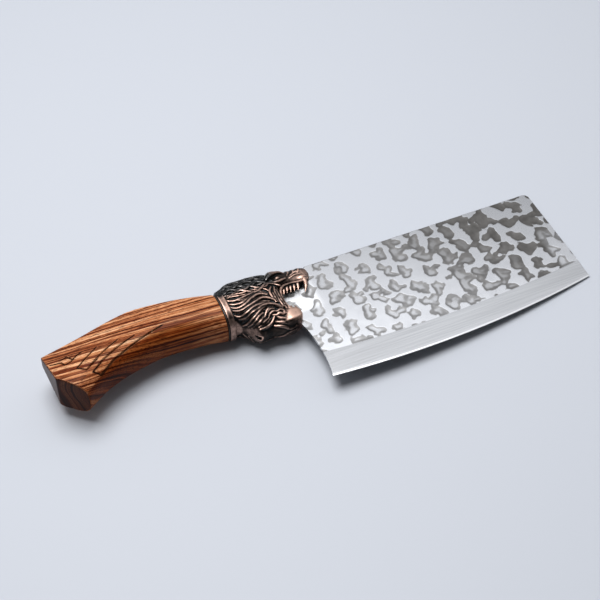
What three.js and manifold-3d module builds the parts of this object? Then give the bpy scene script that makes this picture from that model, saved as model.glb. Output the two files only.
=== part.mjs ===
// Butcher cleaver with a cast beast-head bolster and a faceted hardwood handle, lying on its side.
// Millimetres, +Z up. The sizes are in the knife's own frame: X runs from the joint between wood and
// bolster to the toe, Y points to the spine, Z points out of one side, and both sides are alike.
import * as THREE from "three";
import { mergeVertices } from "three/addons/utils/BufferGeometryUtils.js";
import Module from "manifold-3d";

const wasm = await Module();
wasm.setup();

// Fits: the gap between neighbours, and the resin film in the joint
const CLEARANCE = 0.3;
const FILM = 0.6;
const FILM_INSET = 0.5;

// Blade
const EDGE_LENGTH = 180;
const HEEL_X = 44;
const SPINE_Y = 17.2;
const HEEL_HEIGHT = 85.5;
const TOE_HEIGHT = 78.5;
const EDGE_BOW = 6.2;
const BEVEL_AT_HEEL = 17.8;
const BEVEL_AT_TOE = 13.2;
const BEVEL_BOW = 4.9;
const CHOIL_BOW = 2.4;
const CHOIL_TOP_X = 43;
const CHOIL_TOP_Y = -25.4;
const CORNER_RADIUS = 4;
const TOE_LEAN = 1.2;
const SPINE_THICKNESS = 2.8;
const TOE_THICKNESS = 2.2;
const BEVEL_THICKNESS = 2;
const EDGE_THICKNESS = 0.5;

// Stub and tang: the steel that stays inside the bolster and the handle
const STUB_REAR_X = 31;
const STUB_TOP_Y = 12.5;
const STUB_BOTTOM_Y = -21;
const TANG_TOP_Y = 6;
const TANG_BOTTOM_Y = -5;
const TANG_TIP_TOP_Y = 5;
const TANG_TIP_BOTTOM_Y = -1;
const TANG_LENGTH = 84;
const NOTCH_DEPTH = 1.5;

// Grip section at the joint, and how far the ring stands proud of it
const GRIP_HALF_HEIGHT = 14.8;
const GRIP_HALF_WIDTH = 13;
const GRIP_SQUARENESS = 2.5;
const RING_STEP = 0.3;
const RING_WIDTH = 4;
const RING_BEVEL = 0.6;

// Handle
const HANDLE_LENGTH = 111;
const BUTT_HALF_WIDTH = 13.3;
const BUTT_SQUARENESS = 3.4;
const BUTT_CORNER_Y = 11.7;
const BUTT_CORNER_HALF_WIDTH = 4;
const BUTT_RIDGE_BACK = 2.3;
const BUTT_RIDGE_Y = -13.8;
const BUTT_RIDGE_HALF_WIDTH = 12.6;
const BUTT_HEEL_ANGLE = 45;
const FACET_START = new THREE.Vector3(-36, 20.5, 7);
const BORE_HEIGHT = 16;
const BORE_WIDTH = 7;
const BORE_Y = 0.5;
const BORE_END_GAP = 4;

// Outlines of the handle, as distances behind the joint and heights above its axis
const HANDLE_TOP = [
  [0, GRIP_HALF_HEIGHT],
  [13, 18.2],
  [43, 23.8],
  [57, 24.2],
  [HANDLE_LENGTH - 21, 16.2],
  [HANDLE_LENGTH, BUTT_CORNER_Y],
];
const HANDLE_BOTTOM = [
  [0, -GRIP_HALF_HEIGHT],
  [13, -12],
  [HANDLE_LENGTH - 71, -10.5],
  [HANDLE_LENGTH - 55, -13],
  [HANDLE_LENGTH - 45, -15.2],
  [HANDLE_LENGTH - 31, -20.4],
  [HANDLE_LENGTH - 20, -27.2],
  [HANDLE_LENGTH, -41],
];
const HANDLE_HALF_WIDTH = [
  [0, GRIP_HALF_WIDTH],
  [43, 13.4],
  [HANDLE_LENGTH, BUTT_HALF_WIDTH],
];
const HANDLE_SQUARENESS = [
  [0, GRIP_SQUARENESS],
  [HANDLE_LENGTH - 51, 2.8],
  [HANDLE_LENGTH, BUTT_SQUARENESS],
];

// Beast head: outlines along X of the skull with its neck, the snout and the lower jaw
const MOUTH_X = 38.5;
const NOSE_X = 63;
const CHIN_X = 45.5;
const SKULL = {
  from: RING_WIDTH - 1,
  to: MOUTH_X,
  top: [[3, 14.6], [6, 18], [10, 20.2], [21, 20.3], [31, 20], [MOUTH_X, 19.6]],
  bottom: [[3, -13.4], [8, -14], [12, -18.4], [15.5, -24.6], [18, -25], [23, -24], [31, -26],
    [MOUTH_X, -26.4]],
  half: [[3, 12.3], [12, 12.6], [22, 12.4], [31, 11.4], [MOUTH_X, 9.2]],
  waist: [[3, 0], [14, -3], [MOUTH_X, -3]],
};
const SNOUT = {
  from: MOUTH_X - 6,
  to: NOSE_X,
  top: [[34, 16], [42, 18], [47, 17], [53, 16.6], [59, 16.2], [62, 14.5], [NOSE_X, 12.5]],
  bottom: [[34, -2], [42, 2.2], [48, 3.6], [56, 3.2], [60, 4.2], [62, 7], [NOSE_X, 9.5]],
  half: [[34, 8.5], [42, 8], [48, 6.6], [55, 6], [60, 5.4], [62, 4], [NOSE_X, 1.8]],
  waist: [[34, 6], [48, 9], [NOSE_X, 11]],
};
const JAW = {
  from: MOUTH_X - 12,
  to: CHIN_X,
  top: [[28, -9], [36, -12.2], [41, -13.6], [44, -15.6], [CHIN_X, -18.5]],
  bottom: [[28, -23], [36, -26.2], [42, -26.2], [44.6, -24.6], [CHIN_X, -21.5]],
  half: [[28, 6], [36, 8], [42, 6.6], [44.6, 4.8], [CHIN_X, 2]],
  waist: [[28, -18], [CHIN_X, -20]],
};
const HEAD_SQUARENESS = 2.3;
const THROAT = { x: 41, y: -5.5, depth: 7, height: 8, half: 6.5 };
const NOSE = { x: 60.6, y: 12.2, depth: 2.2, height: 2.6, half: 4.2 };
const MUZZLE = { x: 56.5, y: 6.8, z: 3.4, depth: 4.2, height: 2.8, half: 2.8 };
const CHIN = { x: 41.2, y: -20.6, depth: 4.2, height: 5.2, half: 7.2 };
const EYE = { x: 41, y: 9.2, radius: 1.7 };
const NOSTRIL = { x: 61.6, y: 12, z: 3.4, radius: 1.1 };
const FANG_LENGTH = 10.5;
const FANG_RADIUS = 1.7;
const LOWER_FANG_LENGTH = 5;
const UPPER_TEETH = 5;
const TOOTH_LENGTH = 3.6;
const TOOTH_RADIUS = 0.9;
const LOCKS = 9;
const LOCK_RADIUS = 1.3;
const LOCK_SWING = 2.4;

// Pin that locks the bolster on the tang, in the finger stop
const PIN_X = 15.2;
const PIN_DIAMETER = 2;
const PIN_SINK = 0.8;

// How finely round forms are cut into facets
const RING_SIDES = 28;
const STRAND_SIDES = 5;
const STRAND_STEPS = 8;
const BLOCK = 400;

const JOINT_HALF = FILM / 2 + CLEARANCE;
const TOE_X = HEEL_X + EDGE_LENGTH;
const HEEL_Y = SPINE_Y - HEEL_HEIGHT;
const TOE_Y = SPINE_Y - TOE_HEIGHT;

// Reads a smooth line through stations [x, y] at x.
function along(stations, x) {
  const last = stations.length - 1;
  let i = 0;
  while (i < last - 1 && x > stations[i + 1][0]) i++;
  const slope = (k) => {
    const [before, after] = [stations[Math.max(k - 1, 0)], stations[Math.min(k + 1, last)]];
    return (after[1] - before[1]) / (after[0] - before[0]);
  };
  const [[x0, y0], [x1, y1]] = [stations[i], stations[i + 1]];
  const span = x1 - x0;
  const t = THREE.MathUtils.clamp((x - x0) / span, 0, 1);
  const [rise0, rise1] = [slope(i) * span, slope(i + 1) * span];
  const bend = (2 * (y0 - y1) + rise0 + rise1) * t ** 3 + (3 * (y1 - y0) - 2 * rise0 - rise1) * t ** 2;
  return bend + rise0 * t + y0;
}

// Skins rings of equally many points, anticlockwise seen from the last, into a closed geometry.
function loft(rings) {
  const count = rings[0].length;
  const end = (rings.length - 1) * count;
  const faces = [];
  for (let start = 0; start < end; start += count) {
    for (let i = 0; i < count; i++) {
      const a = start + i;
      const b = start + ((i + 1) % count);
      faces.push(a, b, b + count, a, b + count, a + count);
    }
  }
  for (let i = 1; i + 1 < count; i++) {
    faces.push(0, i + 1, i, end, end + i, end + i + 1);
  }
  return new THREE.BufferGeometry().setFromPoints(rings.flat()).setIndex(faces);
}

// Turns a closed geometry into a solid that can be joined and cut.
function solid(geometry) {
  geometry.deleteAttribute("normal");
  geometry.deleteAttribute("uv");
  const merged = mergeVertices(geometry);
  return new wasm.Manifold(
    new wasm.Mesh({
      numProp: 3,
      vertProperties: merged.attributes.position.array,
      triVerts: new Uint32Array(merged.index.array),
    }),
  );
}

// Names a solid's surface as one mesh of the knife.
function piece(name, body, colour, roughness, metalness) {
  const { vertProperties, triVerts } = body.getMesh();
  const geometry = new THREE.BufferGeometry();
  geometry.setAttribute("position", new THREE.BufferAttribute(vertProperties, 3));
  geometry.setIndex(new THREE.BufferAttribute(triVerts, 1));
  geometry.computeVertexNormals();
  const material = new THREE.MeshStandardMaterial({ color: colour, roughness, metalness });
  const mesh = new THREE.Mesh(geometry, material);
  mesh.name = name;
  return mesh;
}

// One rounded cross-section at x between bottom and top, widest at its waist.
function section(x, top, bottom, waist, half, squareness) {
  const power = 2 / squareness;
  const swell = (value) => Math.sign(value) * Math.abs(value) ** power;
  return Array.from({ length: RING_SIDES }, (_, i) => {
    const turn = (i / RING_SIDES) * 2 * Math.PI;
    const rise = swell(Math.cos(turn));
    const y = waist + rise * (rise > 0 ? top - waist : waist - bottom);
    return new THREE.Vector3(x, y, half * swell(Math.sin(turn)));
  });
}

// A flat plate of an outline in X and Y, centred on the blade's mid-plane.
function plate(outline, thickness) {
  const geometry = new THREE.ExtrudeGeometry(outline, { depth: thickness, bevelEnabled: false });
  return solid(geometry.translate(0, 0, -thickness / 2));
}

// A bar of constant section in Y and Z from one x to another.
function bar(shape, fromX, toX, bevel = 0) {
  const settings = {
    depth: toX - fromX - 2 * bevel,
    bevelEnabled: bevel > 0,
    bevelThickness: bevel,
    bevelSize: bevel,
    bevelOffset: -bevel,
    bevelSegments: 2,
    curveSegments: 8,
  };
  const geometry = new THREE.ExtrudeGeometry(shape, settings);
  const turn = new THREE.Matrix4().set(0, 0, 1, fromX + bevel, 1, 0, 0, 0, 0, 1, 0, 0, 0, 0, 0, 1);
  return solid(geometry.applyMatrix4(turn));
}

// The oval of the grip at the joint, grown or shrunk all round.
function gripOval(growth) {
  const height = GRIP_HALF_HEIGHT + growth;
  const ring = section(0, height, -height, 0, GRIP_HALF_WIDTH + growth, GRIP_SQUARENESS);
  return new THREE.Shape(ring.map((point) => new THREE.Vector2(point.y, point.z)));
}

// Everything outside the plane through three points, anticlockwise seen from outside.
function outside(a, b, c) {
  const { normal } = new THREE.Plane().setFromCoplanarPoints(a, b, c);
  const turn = new THREE.Quaternion().setFromUnitVectors(new THREE.Vector3(0, 0, 1), normal);
  const block = new THREE.BoxGeometry(BLOCK, BLOCK, BLOCK).translate(0, 0, BLOCK / 2);
  return solid(block.applyQuaternion(turn).translate(a.x, a.y, a.z));
}

// A round strand along points, with a radius for each point.
function strand(points, radii, steps = STRAND_STEPS) {
  const curve = new THREE.CatmullRomCurve3(points);
  const { normals, binormals } = curve.computeFrenetFrames(steps, false);
  const stations = radii.map((radius, i) => [i / (radii.length - 1), radius]);
  const rings = normals.map((normal, step) => {
    const centre = curve.getPointAt(step / steps);
    const radius = along(stations, step / steps);
    return Array.from({ length: STRAND_SIDES }, (_, i) => {
      const turn = (i / STRAND_SIDES) * 2 * Math.PI;
      const point = centre.clone().addScaledVector(normal, radius * Math.cos(turn));
      return point.addScaledVector(binormals[step], radius * Math.sin(turn));
    });
  });
  return solid(loft(rings));
}

// A ball, or an egg with its own radius along each axis.
function ball(x, y, z, radii) {
  const geometry = new THREE.SphereGeometry(1, 9, 7).scale(...radii);
  return solid(geometry.translate(x, y, z));
}

// Corners of the tang seen from the side, from the stub's lower corner round the tip and back.
function tangCorners(clearance) {
  const tip = -TANG_LENGTH - clearance;
  return [
    new THREE.Vector2(STUB_REAR_X, TANG_BOTTOM_Y - clearance),
    new THREE.Vector2(tip, TANG_TIP_BOTTOM_Y - clearance),
    new THREE.Vector2(tip, TANG_TIP_TOP_Y + clearance),
    new THREE.Vector2(STUB_REAR_X, TANG_TOP_Y + clearance),
  ];
}

// A line from heel to toe that hangs below its chord.
function bowed(from, to, bow) {
  const control = from.clone().lerp(to, 0.5);
  control.y -= 2 * bow;
  return new THREE.QuadraticBezierCurve(from, control, to);
}

// Ground blank: full thickness at the spine, a flat taper to the bevel, then the bevel down to the edge.
function groundBlank() {
  const heel = new THREE.Vector2(HEEL_X, HEEL_Y);
  const toe = new THREE.Vector2(TOE_X, TOE_Y);
  const edge = bowed(heel, toe, EDGE_BOW);
  const bevelHeel = new THREE.Vector2(HEEL_X, HEEL_Y + BEVEL_AT_HEEL);
  const bevelToe = new THREE.Vector2(TOE_X, TOE_Y + BEVEL_AT_TOE);
  const bevel = bowed(bevelHeel, bevelToe, BEVEL_BOW);
  const steps = 28;
  const spare = 5;
  const ring = (t, shift) => {
    const spineThickness = THREE.MathUtils.lerp(SPINE_THICKNESS, TOE_THICKNESS, t);
    const [low, mid] = [edge.getPoint(t), bevel.getPoint(t)];
    const corners = [
      [mid.x, SPINE_Y + spare, spineThickness / 2],
      [mid.x, mid.y, BEVEL_THICKNESS / 2],
      [low.x, low.y, EDGE_THICKNESS / 2],
    ];
    const near = corners.map(([x, y, z]) => new THREE.Vector3(x + shift, y, z));
    const far = corners.map(([x, y, z]) => new THREE.Vector3(x + shift, y, -z)).reverse();
    return near.concat(far);
  };
  const rings = [ring(0, -HEEL_X - TANG_LENGTH - spare)];
  for (let i = 0; i <= steps; i++) rings.push(ring(i / steps, 0));
  rings.push(ring(1, spare));
  return solid(loft(rings));
}

// Blade: the blank cut to its outline, with shoulders behind nose and chin, a tang, and the pin's notch.
function makeBlade() {
  const low = HEEL_Y - 2 * EDGE_BOW;
  const nose = NOSE_X + CLEARANCE;
  const outline = new THREE.Shape();
  outline.moveTo(nose, SPINE_Y);
  const toeTopX = TOE_X - TOE_LEAN;
  const cornerX = THREE.MathUtils.lerp(toeTopX, TOE_X, CORNER_RADIUS / TOE_HEIGHT);
  outline.lineTo(toeTopX - CORNER_RADIUS, SPINE_Y);
  outline.quadraticCurveTo(toeTopX, SPINE_Y, cornerX, SPINE_Y - CORNER_RADIUS);
  outline.lineTo(TOE_X, TOE_Y);
  outline.lineTo(TOE_X, low);
  outline.lineTo(HEEL_X, low);
  outline.lineTo(HEEL_X, HEEL_Y);
  const choilX = (HEEL_X + CHOIL_TOP_X) / 2 + 2 * CHOIL_BOW;
  outline.quadraticCurveTo(choilX, (HEEL_Y + CHOIL_TOP_Y) / 2, CHOIL_TOP_X, CHOIL_TOP_Y);
  outline.lineTo(CHOIL_TOP_X, STUB_BOTTOM_Y);
  outline.lineTo(STUB_REAR_X, STUB_BOTTOM_Y);
  for (const corner of tangCorners(0)) outline.lineTo(corner.x, corner.y);
  outline.lineTo(STUB_REAR_X, STUB_TOP_Y);
  outline.lineTo(nose, STUB_TOP_Y);
  return groundBlank()
    .intersect(plate(outline, 2 * SPINE_THICKNESS))
    .subtract(pinHole(PIN_DIAMETER / 2 + CLEARANCE, pinTop() + CLEARANCE));
}

// Height of the tang's lower edge at the pin, and of the pin's top in its notch.
function pinTop() {
  const [front, tip] = tangCorners(0);
  const share = (front.x - PIN_X) / (front.x - tip.x);
  return THREE.MathUtils.lerp(front.y, tip.y, share) + NOTCH_DEPTH - CLEARANCE;
}

// A round rod up through the finger stop to a height, or the hole for it.
function pinHole(radius, topY, bottomY = -BLOCK / 4) {
  const rod = new THREE.CylinderGeometry(radius, radius, topY - bottomY, 20);
  return solid(rod.translate(PIN_X, (topY + bottomY) / 2, 0));
}

function makePin() {
  return pinHole(PIN_DIAMETER / 2, pinTop(), along(SKULL.bottom, PIN_X) + PIN_SINK);
}

// Handle: a swelling oval bar that grows squarer, cut flat on both sides towards the butt, and ended by two
// facets.
function makeHandle() {
  const rings = [];
  const steps = 36;
  for (let i = steps; i >= 0; i--) {
    const back = THREE.MathUtils.lerp(JOINT_HALF, HANDLE_LENGTH + 2, i / steps);
    const top = along(HANDLE_TOP, back);
    const bottom = along(HANDLE_BOTTOM, back);
    const half = along(HANDLE_HALF_WIDTH, back);
    rings.push(section(-back, top, bottom, (top + bottom) / 2, half, along(HANDLE_SQUARENESS, back)));
  }
  const ridgeX = BUTT_RIDGE_BACK - HANDLE_LENGTH;
  const ridge = new THREE.Vector3(ridgeX, BUTT_RIDGE_Y, BUTT_RIDGE_HALF_WIDTH);
  const corner = new THREE.Vector3(-HANDLE_LENGTH, BUTT_CORNER_Y, BUTT_CORNER_HALF_WIDTH);
  const mirrored = (point) => new THREE.Vector3(point.x, point.y, -point.z);
  const slope = THREE.MathUtils.degToRad(BUTT_HEEL_ANGLE);
  const heel = new THREE.Vector3(ridgeX + Math.sin(slope), BUTT_RIDGE_Y - Math.cos(slope), 0);
  return solid(loft(rings))
    .subtract(outside(ridge, FACET_START, corner))
    .subtract(outside(mirrored(ridge), mirrored(corner), mirrored(FACET_START)))
    .subtract(outside(corner, mirrored(corner), ridge))
    .subtract(outside(ridge, mirrored(ridge), heel))
    .subtract(bar(boreSlot(0), -TANG_LENGTH - BORE_END_GAP, BLOCK / 4));
}

// The oblong of the bore, two drilled rounds and the wood between them, shrunk all round.
function boreSlot(shrink) {
  const radius = BORE_WIDTH / 2 - shrink;
  const reach = (BORE_HEIGHT - BORE_WIDTH) / 2;
  const slot = new THREE.Shape();
  slot.absarc(BORE_Y + reach, 0, radius, -Math.PI / 2, Math.PI / 2, false);
  slot.absarc(BORE_Y - reach, 0, radius, Math.PI / 2, (3 * Math.PI) / 2, false);
  return slot;
}

// Resin: the bed that fills the bore round the tang, and the film between wood and ring.
function makeResin() {
  const bed = bar(boreSlot(CLEARANCE), -TANG_LENGTH - BORE_END_GAP + CLEARANCE, 0);
  const film = bar(gripOval(-FILM_INSET), -FILM / 2, FILM / 2);
  const tang = plate(new THREE.Shape(tangCorners(CLEARANCE)), SPINE_THICKNESS + 2 * CLEARANCE);
  return bed.add(film).subtract(tang);
}

// One lofted mass of the head.
function mass(form, steps) {
  const rings = [];
  for (let i = 0; i <= steps; i++) {
    const x = THREE.MathUtils.lerp(form.from, form.to, i / steps);
    const [top, bottom] = [along(form.top, x), along(form.bottom, x)];
    rings.push(section(x, top, bottom, along(form.waist, x), along(form.half, x), HEAD_SQUARENESS));
  }
  return solid(loft(rings));
}

// A point on the side of one mass of the head.
function onSide(form, x, y, side, sink = 0) {
  const waist = along(form.waist, x);
  const reach = y > waist ? along(form.top, x) - waist : waist - along(form.bottom, x);
  const rise = Math.min(Math.abs(y - waist) / reach, 1);
  const half = along(form.half, x) * (1 - rise ** HEAD_SQUARENESS) ** (1 / HEAD_SQUARENESS);
  return new THREE.Vector3(x, y, side * (half - sink));
}

// Mane: locks that leave the cheek, swing up and down, and end at the ring or at the underside.
function maneLocks(side) {
  const rootX = [[0, 32], [1, 35]];
  const rootY = [[0, 15.5], [1, -17]];
  const tipX = [[0, 7], [0.55, 6], [0.75, 8], [1, 17]];
  const tipY = [[0, 15], [0.55, -5.5], [0.75, -9.5], [1, -17.5]];
  return Array.from({ length: LOCKS }, (_, lock) => {
    const t = lock / (LOCKS - 1);
    const swing = LOCK_SWING * Math.min(2 * t, 1);
    const points = [0, 0.2, 0.4, 0.6, 0.8, 1].map((share) => {
      const x = THREE.MathUtils.lerp(along(rootX, t), along(tipX, t), share);
      const y = THREE.MathUtils.lerp(along(rootY, t), along(tipY, t), share);
      return onSide(SKULL, x, y + swing * Math.sin(2 * Math.PI * share), side);
    });
    return strand(points, [0.5 * LOCK_RADIUS, LOCK_RADIUS, LOCK_RADIUS, 0.4 * LOCK_RADIUS]);
  });
}

// Face: lip, cheek folds, brow, eyelid, eye, muzzle, jaw tufts, fangs and teeth of one side.
function faceParts(side) {
  const at = (x, y, z) => new THREE.Vector3(x, y, side * z);
  const lip = strand(
    [at(59, 4.4, 5), at(53, 3.2, 5.8), at(46, 2.8, 7), at(39.4, -1.5, 8.8), at(37.8, -8, 9),
      at(38.4, -13, 8), at(42.6, -16.8, 5.6)],
    [1, 1.2, 1.2, 1.3, 1.2, 1.1, 0.8],
    14,
  );
  const folds = [36.8, 33.8].map((x, i) =>
    strand(
      [onSide(SKULL, x + 2, 6 - i, side), onSide(SKULL, x, 0, side), onSide(SKULL, x, -8, side),
        onSide(SKULL, x + 1.5, -15 + i, side)],
      [0.5, 1.2, 1.2, 0.5],
    ),
  );
  const brow = strand(
    [at(48, 14.6, 5.6), at(44, 14.6, 7), at(39, 13.4, 8.8), at(34, 10, 10.4)],
    [0.6, 1.7, 1.7, 0.6],
  );
  const lid = strand(
    [at(46.5, 8.4, 6.9), at(43, 6.8, 8.2), at(39.5, 6, 9), at(36.5, 6.6, 9.6)],
    [0.5, 0.9, 0.9, 0.5],
  );
  const eye = ball(EYE.x, EYE.y, side * 7.4, [EYE.radius, EYE.radius, EYE.radius]);
  const muzzle = ball(MUZZLE.x, MUZZLE.y, side * MUZZLE.z, [MUZZLE.depth, MUZZLE.height, MUZZLE.half]);
  const tufts = [
    [[38.5, -20.5], [35, -21.8], [31, -21], [28, -18.5]],
    [[38.5, -23.8], [35, -24.6], [31.5, -23.6], [27.5, -21.5]],
  ].map((line) => strand(line.map(([x, y]) => onSide(SKULL, x, y, side)), [0.5, 1, 1, 0.4]));
  const fang = strand(
    [at(57.6, 5, 4.6), at(56.6, 5 - FANG_LENGTH / 2, 4.9), at(53.8, 5 - FANG_LENGTH, 4.4)],
    [FANG_RADIUS, 0.75 * FANG_RADIUS, 0.1],
  );
  const lowerFang = strand(
    [at(43, -17.5, 4.4), at(43.8, -17.5 + LOWER_FANG_LENGTH / 2, 4.8),
      at(43.4, -17 + LOWER_FANG_LENGTH, 4.8)],
    [1.2, 0.9, 0.1],
  );
  const teeth = Array.from({ length: UPPER_TEETH }, (_, i) => {
    const x = 43 + 2.3 * i;
    const root = along(SNOUT.bottom, x) + 0.8;
    const z = along(SNOUT.half, x) - 1.4;
    return strand(
      [at(x, root, z), at(x - 0.4, root - TOOTH_LENGTH / 2, z), at(x - 1, root - TOOTH_LENGTH, z)],
      [TOOTH_RADIUS, 0.7 * TOOTH_RADIUS, 0.1],
      3,
    );
  });
  return [lip, ...folds, brow, lid, eye, muzzle, ...tufts, fang, lowerFang, ...teeth];
}

// Bolster: ring, neck, open-jawed head, mane and teeth in one casting, slotted for the blade.
function makeBolster() {
  const ring = bar(gripOval(RING_STEP), JOINT_HALF, RING_WIDTH + JOINT_HALF, RING_BEVEL);
  const throat = ball(THROAT.x, THROAT.y, 0, [THROAT.depth, THROAT.height, THROAT.half]);
  const nose = ball(NOSE.x, NOSE.y, 0, [NOSE.depth, NOSE.height, NOSE.half]);
  const chin = ball(CHIN.x, CHIN.y, 0, [CHIN.depth, CHIN.height, CHIN.half]);
  let head = mass(SKULL, 20).subtract(throat);
  for (const part of [ring, mass(SNOUT, 12), mass(JAW, 8), nose, chin]) head = head.add(part);
  for (const side of [1, -1]) {
    for (const part of [...maneLocks(side), ...faceParts(side)]) head = head.add(part);
    const { x, y, z, radius } = NOSTRIL;
    head = head.subtract(ball(x, y, side * z, [radius, radius, radius]));
  }
  const stub = new THREE.Shape();
  stub.moveTo(BLOCK / 4, STUB_TOP_Y + CLEARANCE);
  stub.lineTo(STUB_REAR_X - CLEARANCE, STUB_TOP_Y + CLEARANCE);
  stub.lineTo(STUB_REAR_X - CLEARANCE, STUB_BOTTOM_Y - CLEARANCE);
  stub.lineTo(CHOIL_TOP_X - CLEARANCE, STUB_BOTTOM_Y - CLEARANCE);
  stub.lineTo(CHOIL_TOP_X - CLEARANCE, -BLOCK / 4);
  stub.lineTo(BLOCK / 4, -BLOCK / 4);
  const slotWidth = SPINE_THICKNESS + 2 * CLEARANCE;
  return head
    .subtract(plate(stub, slotWidth))
    .subtract(plate(new THREE.Shape(tangCorners(CLEARANCE)), slotWidth))
    .subtract(pinHole(PIN_DIAMETER / 2 + CLEARANCE, pinTop()));
}

const blade = piece("blade", makeBlade(), 0xc9ccd0, 0.25, 1);
const bolster = piece("bolster", makeBolster(), 0x8a6a5a, 0.4, 0.9);
const handle = piece("handle", makeHandle(), 0x7a4a28, 0.4, 0);
const resin = piece("tang_resin", makeResin(), 0x1c1512, 0.5, 0);
const pin = piece("bolster_pin", makePin(), 0x3a3634, 0.5, 1);
const knife = new THREE.Group();
knife.add(blade, bolster, handle, resin, pin);

// The lowest point of a mesh once the knife is pitched towards its toe.
function lowest(mesh, pitch) {
  const points = mesh.geometry.attributes.position;
  let low = Infinity;
  for (let i = 0; i < points.count; i++) {
    low = Math.min(low, points.getZ(i) * Math.cos(pitch) - points.getX(i) * Math.sin(pitch));
  }
  return low;
}

// At rest the knife leans on a cheek of the bolster and on the toe of the blade.
let [level, steep] = [0, 0.2];
for (let i = 0; i < 30; i++) {
  const pitch = (level + steep) / 2;
  if (lowest(blade, pitch) > lowest(bolster, pitch)) level = pitch;
  else steep = pitch;
}
knife.rotation.y = level;
knife.updateMatrixWorld(true);
const box = new THREE.Box3().setFromObject(knife, true);
const middle = box.getCenter(new THREE.Vector3());
knife.position.set(-middle.x, -middle.y, -box.min.z);

const part = new THREE.Group();
part.add(knife);
export default part;
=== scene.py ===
# Butcher cleaver with a cast beast-head bolster and a faceted hardwood handle, lying on a pale table.
import math
import random

import bpy
import numpy as np
from mathutils import Matrix, Vector, noise


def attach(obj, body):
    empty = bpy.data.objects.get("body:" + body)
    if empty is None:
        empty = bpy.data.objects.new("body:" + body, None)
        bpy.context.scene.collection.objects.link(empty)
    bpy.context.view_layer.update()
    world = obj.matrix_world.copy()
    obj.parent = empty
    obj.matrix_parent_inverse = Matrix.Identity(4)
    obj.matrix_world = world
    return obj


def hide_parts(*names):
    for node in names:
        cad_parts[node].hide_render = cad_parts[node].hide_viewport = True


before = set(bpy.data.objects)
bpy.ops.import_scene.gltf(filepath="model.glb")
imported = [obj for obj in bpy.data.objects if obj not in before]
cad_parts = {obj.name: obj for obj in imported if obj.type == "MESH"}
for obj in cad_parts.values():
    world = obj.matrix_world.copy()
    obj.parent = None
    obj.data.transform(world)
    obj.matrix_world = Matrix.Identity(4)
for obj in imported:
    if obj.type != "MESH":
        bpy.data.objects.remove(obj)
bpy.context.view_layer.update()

# Blade
# One blank of stainless steel, 2.8 mm thick at the spine and ground to a bellied edge. Its sides are
# hammered and then polished, so that dull recesses stay in a bright ground. It runs on as a stub
# between the beast's jaws and as a stick tang into the handle, and needs no rivets.

# The knife is modelled in mm in its own frame: X from the joint between wood and bolster to the toe, Y to
# the spine, Z out of the upper side. It lies pitched, with a cheek of the bolster and the toe on the table.
PITCH = math.radians(3.60695)
JOINT_PLACE = Vector((-0.056275, 0.023474, 0.015106))
MM = 0.001
LAID = Matrix.Translation(JOINT_PLACE) @ Matrix.Rotation(PITCH, 4, "Y") @ Matrix.Scale(MM, 4)

EDGE_LENGTH = 180
HEEL_X = 44
TOE_X = HEEL_X + EDGE_LENGTH
SPINE_Y = 17.2
HEEL_Y = -68.3
TOE_Y = -61.3
EDGE_BOW = 6.199
BEVEL_AT_HEEL = 17.8
BEVEL_AT_TOE = 13.2
BEVEL_BOW = 4.9
CORNER_RADIUS = 4
TOE_LEAN = 1.2
CHOIL_BOW = 2.4
CHOIL_TOP_X = 43
CHOIL_TOP_Y = -25.4
NOSE_X = 63
SHOULDER = 3.5
STUB_REAR_X = 31
STUB_TOP_Y = 12.5
STUB_BOTTOM_Y = -21
TANG_TOP_Y = 6
TANG_BOTTOM_Y = -5
TANG_LENGTH = 84
TANG_TIP_HEIGHT = 6
TANG_TIP_Y = 2
PIN_X = 15.2
PIN_HOLE_RADIUS = 1.3
PIN_HOLE_TOP_Y = -3
SPINE_HALF = 1.4
TOE_HALF = 1.1
BEVEL_HALF = 1.0
TAPER_TOP_Y = 22.2
MICRO_BEVEL = 0.9
MICRO_HALF = 0.27
EDGE_HALF = 0.06
EASED = 0.3
NOTCH_BOTTOM_Y = -9
RECESS_DEPTH = 0.12
RECESS_SLOPE = 2.0
RECESS_OFF_BEVEL = 0.4
UPPER_DRAW = 21
LOWER_DRAW = 12

COLUMNS = 290
BEVEL_ROWS = 9
FACE_ROWS = 105
ROWS = BEVEL_ROWS + FACE_ROWS
CROWDED = 0.01
CROWDED_TO_TOE = 90


# A step from 0 to 1 with soft ends. A distance divided by a length fades over that length.
def soft_step(value):
    t = np.clip(value, 0, 1)
    return t * t * (3 - 2 * t)


# A line from heel to toe that hangs below its chord.
def bowed(heel_y, toe_y, bow, x):
    t = np.clip((x - HEEL_X) / EDGE_LENGTH, 0, 1)
    return heel_y + (toe_y - heel_y) * t - 4 * bow * t * (1 - t)


# The spine's line: it rises from the stub behind the nose, and is round at the toe's corner.
def spine_y(x):
    past = np.clip(x - TOE_X + CORNER_RADIUS, 0, CORNER_RADIUS)
    drop = CORNER_RADIUS - np.sqrt(CORNER_RADIUS ** 2 - past ** 2)
    rise = np.clip((NOSE_X - x) / SHOULDER, 0, 1)
    return SPINE_Y - drop - (SPINE_Y - STUB_TOP_Y) * rise


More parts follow.
